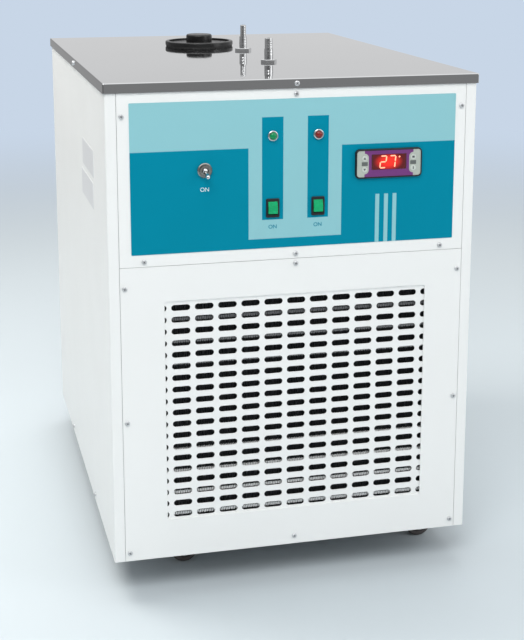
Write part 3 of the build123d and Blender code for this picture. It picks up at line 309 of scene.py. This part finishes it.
mats = {
    "powder_white": powder_coat("powder_white", WHITE_COAT),
    "polished_steel": polished_steel("polished_steel", srgb(194, 195, 196), 0.03, 0.06),
    "stainless": polished_steel("stainless", srgb(190, 191, 192), 0.25, 0.35),
    "zinc_steel": plated("zinc_steel", srgb(170, 172, 174), 0.35, 0.5),
    "chrome": plated("chrome", srgb(212, 213, 214), 0.12, 0.20),
    "overlay_teal": printed_film("overlay_teal"),
    "black_plastic": moulded("black_plastic", srgb(18, 19, 21), 0.42, 0.52),
    "black_gloss": moulded("black_gloss", srgb(12, 12, 13), 0.30, 0.40, coat=0.05),
    "rubber_black": moulded("rubber_black", srgb(24, 24, 24), 0.6, 0.75),
    "wheel_rubber": moulded("wheel_rubber", srgb(82, 77, 76), 0.5, 0.65),
    "rocker_green": lens("rocker_green", srgb(0, 168, 106), 0.16),
    "lens_green": lens("lens_green", srgb(0, 142, 84), 0.12),
    "lens_red": lens("lens_red", srgb(138, 40, 34), 0.08),
    "face_purple": controller_print("face_purple"),
    "display_red": moulded("display_red", srgb(74, 14, 20), 0.08, 0.12, coat=1.0),
    "key_grey": moulded("key_grey", srgb(196, 203, 196), 0.4, 0.5),
    "copper": plated("copper", srgb(214, 140, 104), 0.22, 0.36),
    "aluminium_fin": plated("aluminium_fin", srgb(72, 73, 75), 0.40, 0.55),
    "foam": moulded("foam", srgb(46, 46, 48), 0.8, 0.9, 300.0, 0.4),
    "hose_clear": moulded("hose_clear", srgb(196, 200, 200), 0.3, 0.4, coat=0.2),
    "motor_paint": moulded("motor_paint", srgb(30, 31, 33), 0.35, 0.45, 500.0, 0.15),
}
NODE_SLOT = {part["node"]: part["material_slot"] for part in frame["record"]["subparts"]}
for name, obj in nodes.items():
    obj.data.materials.clear()
    obj.data.materials.append(mats[NODE_SLOT[name]])

# Two nodes look duller than the rest of their slot
dull_screw = Build("dull_screw").put("Metallic", 0.55)
dull_screw.tint(dull_screw.noise(200.0), srgb(206, 208, 210), 0.10).rough(dull_screw.noise(150.0), 0.30, 0.42)
nodes["panel_screws"].data.materials[0] = dull_screw.mat
switch_nut = plated("switch_nut", srgb(166, 166, 162), 0.14, 0.24)
nodes["toggle_bushing"].data.materials[0] = switch_nut


# Mesh helpers
def finish_piece(bm, name, mat, body):
    mesh = bpy.data.meshes.new(name)
    bmesh.ops.recalc_face_normals(bm, faces=bm.faces)
    bm.to_mesh(mesh)
    bm.free()
    mesh.materials.append(mat)
    obj = bpy.data.objects.new(name, mesh)
    bpy.context.scene.collection.objects.link(obj)
    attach(obj, body)
    return obj


def rounded_outline(w, h, r, steps=4):
    points = []
    for cx, cz, start in ((1, 1, 0), (-1, 1, 90), (-1, -1, 180), (1, -1, 270)):
        for k in range(steps + 1):
            a = math.radians(start + 90 * k / steps)
            points.append((cx * (w / 2 - r) + r * math.cos(a), cz * (h / 2 - r) + r * math.sin(a)))
    return points


def add_prism(bm, points, to_world, depth):
    # Points in a plane, pushed out along the third direction that to_world gives
    back = [bm.verts.new(to_world(u, v, 0.0)) for u, v in points]
    front = [bm.verts.new(to_world(u, v, depth)) for u, v in points]
    bm.faces.new(back[::-1])
    bm.faces.new(front)
    count = len(points)
    for k in range(count):
        bm.faces.new((back[k], back[(k + 1) % count], front[(k + 1) % count], front[k]))


def front_facing(centre):
    # u to the right, v up, depth towards the viewer in front
    return lambda u, v, d: Vector((centre.x + u, centre.y - d, centre.z + v))


# Pale blank plates on the left side, from the front edge and below the lid in millimetres
PATCHES = [(108.0, 215.0, 109.6, 78.3), (116.0, 227.5, 148.0, 117.2)]
PATCH_T = 0.35 * MM
PATCH_R = 1.5 * MM


def side_plates():
    mat = powder_coat("patch_pale", PALE_PATCH)
    for k, (y0, y1, bottom, top) in enumerate(PATCHES):
        bm = bmesh.new()
        centre = place_below(0, (y0 + y1) / 2, (bottom + top) / 2)
        outline = rounded_outline((y1 - y0) * MM, (bottom - top) * MM, PATCH_R)
        add_prism(bm, outline, lambda u, v, d: Vector((centre.x - d, centre.y + u, centre.z + v)), PATCH_T)
        finish_piece(bm, f"side_plate_{k + 1}", mat, "cabinet")


# Cross recesses of the cover screws, drawn as dark grey crosses set into the heads: painted shade in place of
# real hollows
CROSS_L = 3.0 * MM
CROSS_W = 0.7 * MM
CROSS_T = 0.12 * MM
CROSS_SUNK = 0.7
FIRST_TURN, NEXT_TURN = 17, 41


def loose_solids(obj):
    # Groups the vertices of each separate solid in a node's mesh
    mesh = obj.data
    parent = list(range(len(mesh.vertices)))

    def root(k):
        while parent[k] != k:
            parent[k] = parent[parent[k]]
            k = parent[k]
        return k

    seen = {}
    for v in mesh.vertices:
        key = tuple(round(c, 6) for c in v.co)
        if key in seen:
            parent[root(v.index)] = root(seen[key])
        else:
            seen[key] = v.index
    for e in mesh.edges:
        parent[root(e.vertices[0])] = root(e.vertices[1])
    groups = {}
    for v in mesh.vertices:
        groups.setdefault(root(v.index), []).append(obj.matrix_world @ v.co)
    return list(groups.values())


def screw_recesses():
    bm = bmesh.new()
    cab_mid = (low("left_side_panel") + high("right_side_panel")) / 2
    for n, points in enumerate(loose_solids(nodes["panel_screws"])):
        small = Vector([min(p[i] for p in points) for i in range(3)])
        big = Vector([max(p[i] for p in points) for i in range(3)])
        size = big - small
        axis = max(range(3), key=lambda i: size[i])
        centre = (small + big) / 2
        outward = 1 if centre[axis] > cab_mid[axis] else -1
        face = big[axis] if outward > 0 else small[axis]
        others = [i for i in range(3) if i != axis]
        turn = math.radians(FIRST_TURN + NEXT_TURN * n)
        for arm in (0, 90):
            a = turn + math.radians(arm)
            outline = [(-CROSS_L / 2, -CROSS_W / 2), (CROSS_L / 2, -CROSS_W / 2), (CROSS_L / 2, CROSS_W / 2),
                       (-CROSS_L / 2, CROSS_W / 2)]

            def spot(u, v, d):
                p = centre.copy()
                p[others[0]] += u * math.cos(a) - v * math.sin(a)
                p[others[1]] += u * math.sin(a) + v * math.cos(a)
                p[axis] = face + outward * (d - CROSS_T * CROSS_SUNK)
                return p
            add_prism(bm, outline, spot, CROSS_T * (1 + 0.1 * (arm > 0)))
    # The crosses' dark grey is painted shade of the recesses
    grey = moulded("recess_painted_shade", srgb(96, 98, 100), 0.5, 0.6)
    finish_piece(bm, "screw_recesses", grey, "cabinet")


# Display digits
DIGIT_H = 13.2 * MM
DIGIT_W = 6.6 * MM
SEG_W = 1.4 * MM
SEG_T = 0.12 * MM
SEG_GAP = 0.25 * MM
SLANT = 0.10
SEGMENTS = {"2": "abged", "7": "abc"}
DIGIT_X = {"2": -6.8 * MM, "7": 3.9 * MM}
DEGREE_X, DEGREE_Z, DEGREE_R = 12.2 * MM, 5.2 * MM, 0.9 * MM
DEGREE_SIDES = 12
GLOW_W, GLOW_H, GLOW_R = 38.0 * MM, 16.5 * MM, 3.0 * MM


def segment_outline(name):
    # Each bar of a digit as a long hexagon round the digit's middle
    half_w, half_h, t = DIGIT_W / 2, DIGIT_H / 2, SEG_W / 2
    gap = SEG_GAP
    flat = {"a": half_h, "g": 0.0, "d": -half_h}
    if name in flat:
        z, x0, x1 = flat[name], -half_w + gap, half_w - gap
        return [(x0, z), (x0 + t, z + t), (x1 - t, z + t), (x1, z), (x1 - t, z - t), (x0 + t, z - t)]
    x = half_w if name in "bc" else -half_w
    z0, z1 = (gap, half_h - gap) if name in "bf" else (-half_h + gap, -gap)
    return [(x, z0), (x + t, z0 + t), (x + t, z1 - t), (x, z1), (x - t, z1 - t), (x - t, z0 + t)]


def display_digits():
    bright = glowing("digit_glow", (1.0, 0.34, 0.20, 1.0), 1.15)
    centre = middle("controller_display")
    centre.y = low("controller_display").y
    bm = bmesh.new()
    for digit, dx in DIGIT_X.items():
        for name in SEGMENTS[digit]:
            outline = [(u + v * SLANT + dx, v) for u, v in segment_outline(name)]
            add_prism(bm, outline, front_facing(centre), SEG_T)
    ring = [(math.cos(a) * DEGREE_R + DEGREE_X, math.sin(a) * DEGREE_R + DEGREE_Z)
            for a in [math.tau * k / DEGREE_SIDES for k in range(DEGREE_SIDES)]]
    add_prism(bm, ring, front_facing(centre), SEG_T)
    finish_piece(bm, "display_digits", bright, "cabinet")
    # The window round the digits gets a painted red glow
    bm = bmesh.new()
    add_prism(bm, rounded_outline(GLOW_W, GLOW_H, GLOW_R, 6), front_facing(centre), SEG_T * 0.4)
    finish_piece(bm, "display_glow_painted", halo_material(), "cabinet")


# Reach of the red glow
HALO_X, HALO_HALF_W, HALO_HALF_H = 0.6 * MM, 18.0 * MM, 10.6 * MM


def halo_material():
    # Painted glow: the digits' red light painted onto the window, strongest behind the digits and fading
    # towards the window's edge
    b = Build("display_halo")
    centre = middle("controller_display")
    x, y, z = b.axes()
    dx = b.math("DIVIDE", b.math("SUBTRACT", x, centre.x - HALO_X), HALO_HALF_W)
    dz = b.math("DIVIDE", b.math("SUBTRACT", z, centre.z), HALO_HALF_H)
    reach = b.math("ADD", b.math("MULTIPLY", dx, dx), b.math("MULTIPLY", dz, dz))
    glow = b.math("POWER", b.math("MAXIMUM", b.math("SUBTRACT", 1.0, reach), 0.0), 1.5)
    colour = b.mix(glow, srgb(74, 16, 20), srgb(232, 42, 30))
    b.link(colour, b.shader.inputs["Base Color"])
    b.link(colour, b.shader.inputs["Emission Color"])
    b.put("Emission Strength", 0.55)
    return b.rough(b.noise(90.0), 0.15, 0.2).mat


# Signs on the four keys
SIGN_T = 0.06 * MM


def key_signs():
    mat = moulded("key_sign", srgb(70, 76, 80), 0.5, 0.6)
    signs = {"up": [(-1.5, -1.0), (1.5, -1.0), (0, 1.5)], "down": [(-1.5, 1.0), (0, -1.5), (1.5, 1.0)],
             "set": [(-1.4, -1.1), (1.4, -1.1), (1.4, 1.1), (-1.4, 1.1)],
             "power": [(-0.5, -1.6), (0.5, -1.6), (0.5, 1.6), (-0.5, 1.6)]}
    for name, points in signs.items():
        node = f"{name}_key"
        centre = middle(node)
        centre.y = low(node).y
        bm = bmesh.new()
        add_prism(bm, [(u * MM, v * MM) for u, v in points], front_facing(centre), SIGN_T)
        finish_piece(bm, f"{name}_key_sign", mat, node)


# The plain word ON under each switch, the only word on the film
WORDS = [(107.1, 107.8, 4.6), (183.3, 153.0, 4.4), (234.9, 153.0, 4.4)]
WORD_T = 0.03 * MM
FONT_PER_CAPITAL = 1.4


def words():
    white = moulded("print_white", PRINT_WHITE, 0.4, 0.5)
    teal = moulded("print_teal", TEAL_DARK, 0.4, 0.5)
    for k, (x, drop, height) in enumerate(WORDS):
        curve = bpy.data.curves.new(f"word_{k + 1}", "FONT")
        curve.body = "ON"
        curve.size = height * FONT_PER_CAPITAL * MM
        curve.align_x = "CENTER"
        curve.align_y = "CENTER"
        curve.extrude = WORD_T
        curve.offset = (0.02 if x < FIELD_LEFT_END else 0.10) * MM
        curve.materials.append(white if x < FIELD_LEFT_END else teal)
        obj = bpy.data.objects.new(f"word_{k + 1}", curve)
        bpy.context.scene.collection.objects.link(obj)
        spot = place_below(x, 0, drop)
        spot.y = film_front - WORD_T
        obj.matrix_world = Matrix.Translation(spot) @ Matrix.Rotation(math.radians(90), 4, "X")
        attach(obj, "cabinet")


# Fine condenser fins, and the bright bands where the tubes cross them, their brightness a painted highlight
FIN_PITCH = 2.0 * MM
FIN_T = 0.3 * MM
FIN_OUT = 2.4 * MM
BAND_TOP = 253.0 * MM    # below the lid
BAND_STEP = 25.5 * MM
BAND_COUNT = 10
BAND_H = 3.2 * MM
BAND_TILT = 0.7 * MM
BAND_HALF_W = FIN_PITCH * 0.29
BAND_OUT = FIN_OUT * 1.05
BAND_FADE_ROWS = 6
FIN_SIDE_GAP, FIN_END_GAP = 1.0 * MM, 2.0 * MM


def band_painted_highlight():
    # Painted highlight: grey behind the upper slots, whitish further down
    b = Build("fin_band").put("Metallic", 0.3)
    x, y, z = b.axes()
    drop = b.math("SUBTRACT", top_edge - BAND_TOP, z)
    depth = b.math("MINIMUM", b.math("DIVIDE", b.math("MAXIMUM", drop, 0.0), BAND_STEP * BAND_FADE_ROWS), 1.0)
    b.link(b.mix(depth, srgb(120, 121, 123), srgb(232, 233, 233)), b.shader.inputs["Base Color"])
    return b.rough(b.noise(300.0), 0.40, 0.55).bump(b.noise(900.0), 0.1, 0.0002).mat


def condenser_face():
    front = low("condenser").y
    x0, x1 = low("fan_shroud").x + FIN_SIDE_GAP, high("fan_shroud").x - FIN_SIDE_GAP
    z0, z1 = low("fan_shroud").z + FIN_END_GAP, high("fan_shroud").z - FIN_END_GAP
    count = int((x1 - x0) / FIN_PITCH)
    bm = bmesh.new()
    for k in range(count):
        x = x0 + (k + 0.5) * FIN_PITCH
        outline = [(x - FIN_T / 2, z0), (x + FIN_T / 2, z0), (x + FIN_T / 2, z1), (x - FIN_T / 2, z1)]
        add_prism(bm, outline, lambda u, v, d: Vector((u, front - d, v)), FIN_OUT)
    finish_piece(bm, "condenser_fin_edges", mats["aluminium_fin"], "cabinet")
    bm = bmesh.new()
    for row in range(BAND_COUNT):
        z = top_edge - BAND_TOP - BAND_STEP * row
        for k in range(count):
            x = x0 + (k + 0.5) * FIN_PITCH
            half = BAND_HALF_W
            tilt = BAND_TILT * math.sin(k * 1.9 + row)
            outline = [(x - half, z - BAND_H / 2 + tilt), (x + half, z - BAND_H / 2 - tilt),
                       (x + half, z + BAND_H / 2 - tilt), (x - half, z + BAND_H / 2 + tilt)]
            add_prism(bm, outline, lambda u, v, d: Vector((u, front - d, v)), BAND_OUT)
    finish_piece(bm, "condenser_fin_highlight_bands", band_painted_highlight(), "cabinet")


# Barb ridges on the hose nipples: node, radius there, then how far each ridge is below the top
BARBS = [("supply_nipple", 4.8, (2.6, 5.4, 8.2, 11.0)), ("supply_nipple", 5.35, (16.2, 19.4)),
         ("return_nipple", 3.7, (2.8, 5.8, 8.8, 11.8)), ("return_nipple", 4.85, (18.0, 21.6, 25.2))]
BARB_OUT = 0.22 * MM
BARB_H = 2.4 * MM
BARB_SIDES = 32
BARB_SUNK = 0.2 * MM


def barb_ridges():
    for k, (node, radius, drops) in enumerate(BARBS):
        axis = middle(node)
        bm = bmesh.new()
        for drop in drops:
            foot = high(node).z - drop * MM
            inside = radius * MM - BARB_SUNK
            section = [(inside, foot), (radius * MM + BARB_OUT, foot), (inside, foot + BARB_H)]
            rings = []
            for n in range(BARB_SIDES):
                a = math.tau * n / BARB_SIDES
                rings.append([bm.verts.new((axis.x + r * math.cos(a), axis.y + r * math.sin(a), z))
                              for r, z in section])
            for n in range(BARB_SIDES):
                here, there = rings[n], rings[(n + 1) % BARB_SIDES]
                for i in range(3):
                    bm.faces.new((here[i], there[i], there[(i + 1) % 3], here[(i + 1) % 3]))
        finish_piece(bm, f"barb_ridges_{k + 1}", mats["chrome"], "cabinet")


side_plates()
barb_ridges()
screw_recesses()
display_digits()
key_signs()
words()
condenser_face()


# Floor, backdrop and light
BACKDROP = srgb(200, 214, 231)
FLOOR_NEAR, FLOOR_FAR = 1.2, 3.4
FLOOR_HALF = 14.0


def stage():
    mesh = bpy.data.meshes.new("floor")
    bm = bmesh.new()
    for x, y in ((-1, -1), (1, -1), (1, 1), (-1, 1)):
        bm.verts.new((x * FLOOR_HALF, y * FLOOR_HALF, cad_low[2]))
    bm.faces.new(bm.verts[:])
    bm.to_mesh(mesh)
    bm.free()
    mesh.materials.append(floor_paint())
    floor = bpy.data.objects.new("floor", mesh)
    bpy.context.scene.collection.objects.link(floor)


def floor_paint():
    # Pale near the object, and by distance it turns into the backdrop's colour without a line
    b = Build("floor_pale")
    b.tint(b.noise(1.5), srgb(199, 209, 214), 0.02).rough(b.noise(3.0), 0.6, 0.7)
    x, y, z = b.axes()
    reach = b.math("SQRT", b.math("ADD", b.math("MULTIPLY", x, x), b.math("MULTIPLY", y, y)), 0.0)
    blend = b.tree.nodes.new("ShaderNodeMapRange")
    blend.interpolation_type = "SMOOTHSTEP"
    blend.inputs["From Min"].default_value = FLOOR_NEAR
    blend.inputs["From Max"].default_value = FLOOR_FAR
    b.link(reach, blend.inputs["Value"])
    far = b.tree.nodes.new("ShaderNodeMixShader")
    clear = b.tree.nodes.new("ShaderNodeBsdfTransparent")
    flat = b.tree.nodes.new("ShaderNodeEmission")
    flat.inputs["Color"].default_value = BACKDROP
    b.link(b.tree.nodes.new("ShaderNodeLightPath").outputs["Is Camera Ray"], far.inputs[0])
    b.link(clear.outputs[0], far.inputs[1])
    b.link(flat.outputs[0], far.inputs[2])
    both = b.tree.nodes.new("ShaderNodeMixShader")
    b.link(blend.outputs["Result"], both.inputs[0])
    b.link(b.shader.outputs[0], both.inputs[1])
    b.link(far.outputs[0], both.inputs[2])
    b.link(both.outputs[0], b.tree.nodes["Material Output"].inputs["Surface"])
    return b.mat


# Levels of the soft sky and of the room that mirrors show
SOFT_LEVEL = 0.585
ROOM_FRONT, ROOM_BACK = 0.33, 0.74
ROOM_LEFT = 0.45
ROOM_ABOVE = 1.5


def world():
    # Three skies: soft light for matt surfaces, a flat backdrop for the camera, and for mirror
    # surfaces a room that is dark on the viewer's side, dim on the left and bright elsewhere
    w = bpy.data.worlds.new("studio")
    bpy.context.scene.world = w
    w.use_nodes = True
    tree = w.node_tree
    soft = tree.nodes["Background"]
    soft.inputs["Color"].default_value = (0.975, 0.97, 0.975, 1.0)
    soft.inputs["Strength"].default_value = SOFT_LEVEL
    path = tree.nodes.new("ShaderNodeLightPath")
    show = tree.nodes.new("ShaderNodeBackground")
    show.inputs["Color"].default_value = BACKDROP
    room = tree.nodes.new("ShaderNodeBackground")
    split = tree.nodes.new("ShaderNodeSeparateXYZ")
    tree.links.new(tree.nodes.new("ShaderNodeTexCoord").outputs["Generated"], split.inputs[0])

    def fade(axis, start, end, lowest, highest):
        node = tree.nodes.new("ShaderNodeMapRange")
        node.interpolation_type = "SMOOTHSTEP"
        node.inputs["From Min"].default_value = start
        node.inputs["From Max"].default_value = end
        node.inputs["To Min"].default_value = lowest
        node.inputs["To Max"].default_value = highest
        tree.links.new(split.outputs[axis], node.inputs["Value"])
        return node.outputs["Result"]

    def combine(kind, a, b):
        node = tree.nodes.new("ShaderNodeMath")
        node.operation = kind
        tree.links.new(a, node.inputs[0])
        tree.links.new(b, node.inputs[1])
        return node.outputs[0]

    depth = fade(1, -0.85, -0.10, ROOM_FRONT, ROOM_BACK)
    around = combine("MULTIPLY", depth, fade(0, -0.12, 0.05, ROOM_LEFT, 1.0))
    above = fade(2, 0.12, 0.80, 0.0, ROOM_ABOVE)
    tree.links.new(combine("MAXIMUM", around, above), room.inputs["Strength"])
    room.inputs["Color"].default_value = (0.985, 0.99, 1.0, 1.0)
    mirror = tree.nodes.new("ShaderNodeMixShader")
    tree.links.new(path.outputs["Is Glossy Ray"], mirror.inputs[0])
    tree.links.new(soft.outputs[0], mirror.inputs[1])
    tree.links.new(room.outputs[0], mirror.inputs[2])
    mix = tree.nodes.new("ShaderNodeMixShader")
    tree.links.new(path.outputs["Is Camera Ray"], mix.inputs[0])
    tree.links.new(mirror.outputs[0], mix.inputs[1])
    tree.links.new(show.outputs[0], mix.inputs[2])
    tree.links.new(mix.outputs[0], tree.nodes["World Output"].inputs["Surface"])


def lamp(name, spot, aim, size, power, colour=(1.0, 1.0, 1.0)):
    data = bpy.data.lights.new(name, "AREA")
    data.color = colour
    data.shape = "DISK"
    data.size = size
    data.energy = power
    obj = bpy.data.objects.new(name, data)
    bpy.context.scene.collection.objects.link(obj)
    obj.location = spot
    obj.rotation_euler = (Vector(aim) - Vector(spot)).to_track_quat("-Z", "Y").to_euler()
    # The polished lid mirrors the room instead of the lamps above it
    obj.visible_glossy = name in ("key", "fill")


# The camera, fitted to the cabinet's corners in the photo
CAMERA_AT = (-181.0, -1425.7, 709.6)
CAMERA_TURN, CAMERA_DOWN = 13.88, 11.84
CAMERA_LENS = 76.67
CAMERA_SHIFT = -0.175


def camera():
    data = bpy.data.cameras.new("camera")
    data.sensor_width = 36.0
    data.lens = CAMERA_LENS
    data.shift_y = CAMERA_SHIFT
    data.clip_end = 50.0
    obj = bpy.data.objects.new("camera", data)
    bpy.context.scene.collection.objects.link(obj)
    azimuth, elevation = math.radians(CAMERA_TURN), math.radians(CAMERA_DOWN)
    forward = Vector((math.sin(azimuth) * math.cos(elevation), math.cos(azimuth) * math.cos(elevation),
                      -math.sin(elevation)))
    obj.location = place(*CAMERA_AT)
    obj.rotation_euler = forward.to_track_quat("-Z", "Y").to_euler()
    bpy.context.scene.camera = obj


stage()
world()
lamp("key", (-0.65, -1.7, 2.1), (0, 0, 0.3), 1.4, 28.5)
lamp("fill", (2.2, -1.8, 1.5), (0, 0, 0.3), 1.8, 19.0)
lamp("side", (-0.8, 0.35, 1.6), (-0.2, 0.1, 0.5), 0.8, 14.0, (1.0, 0.95, 0.89))
lamp("top", (0.2, 0.6, 3.0), (0, 0, 0.5), 1.8, 22.0)
camera()
bpy.context.scene.view_settings.view_transform = "Standard"
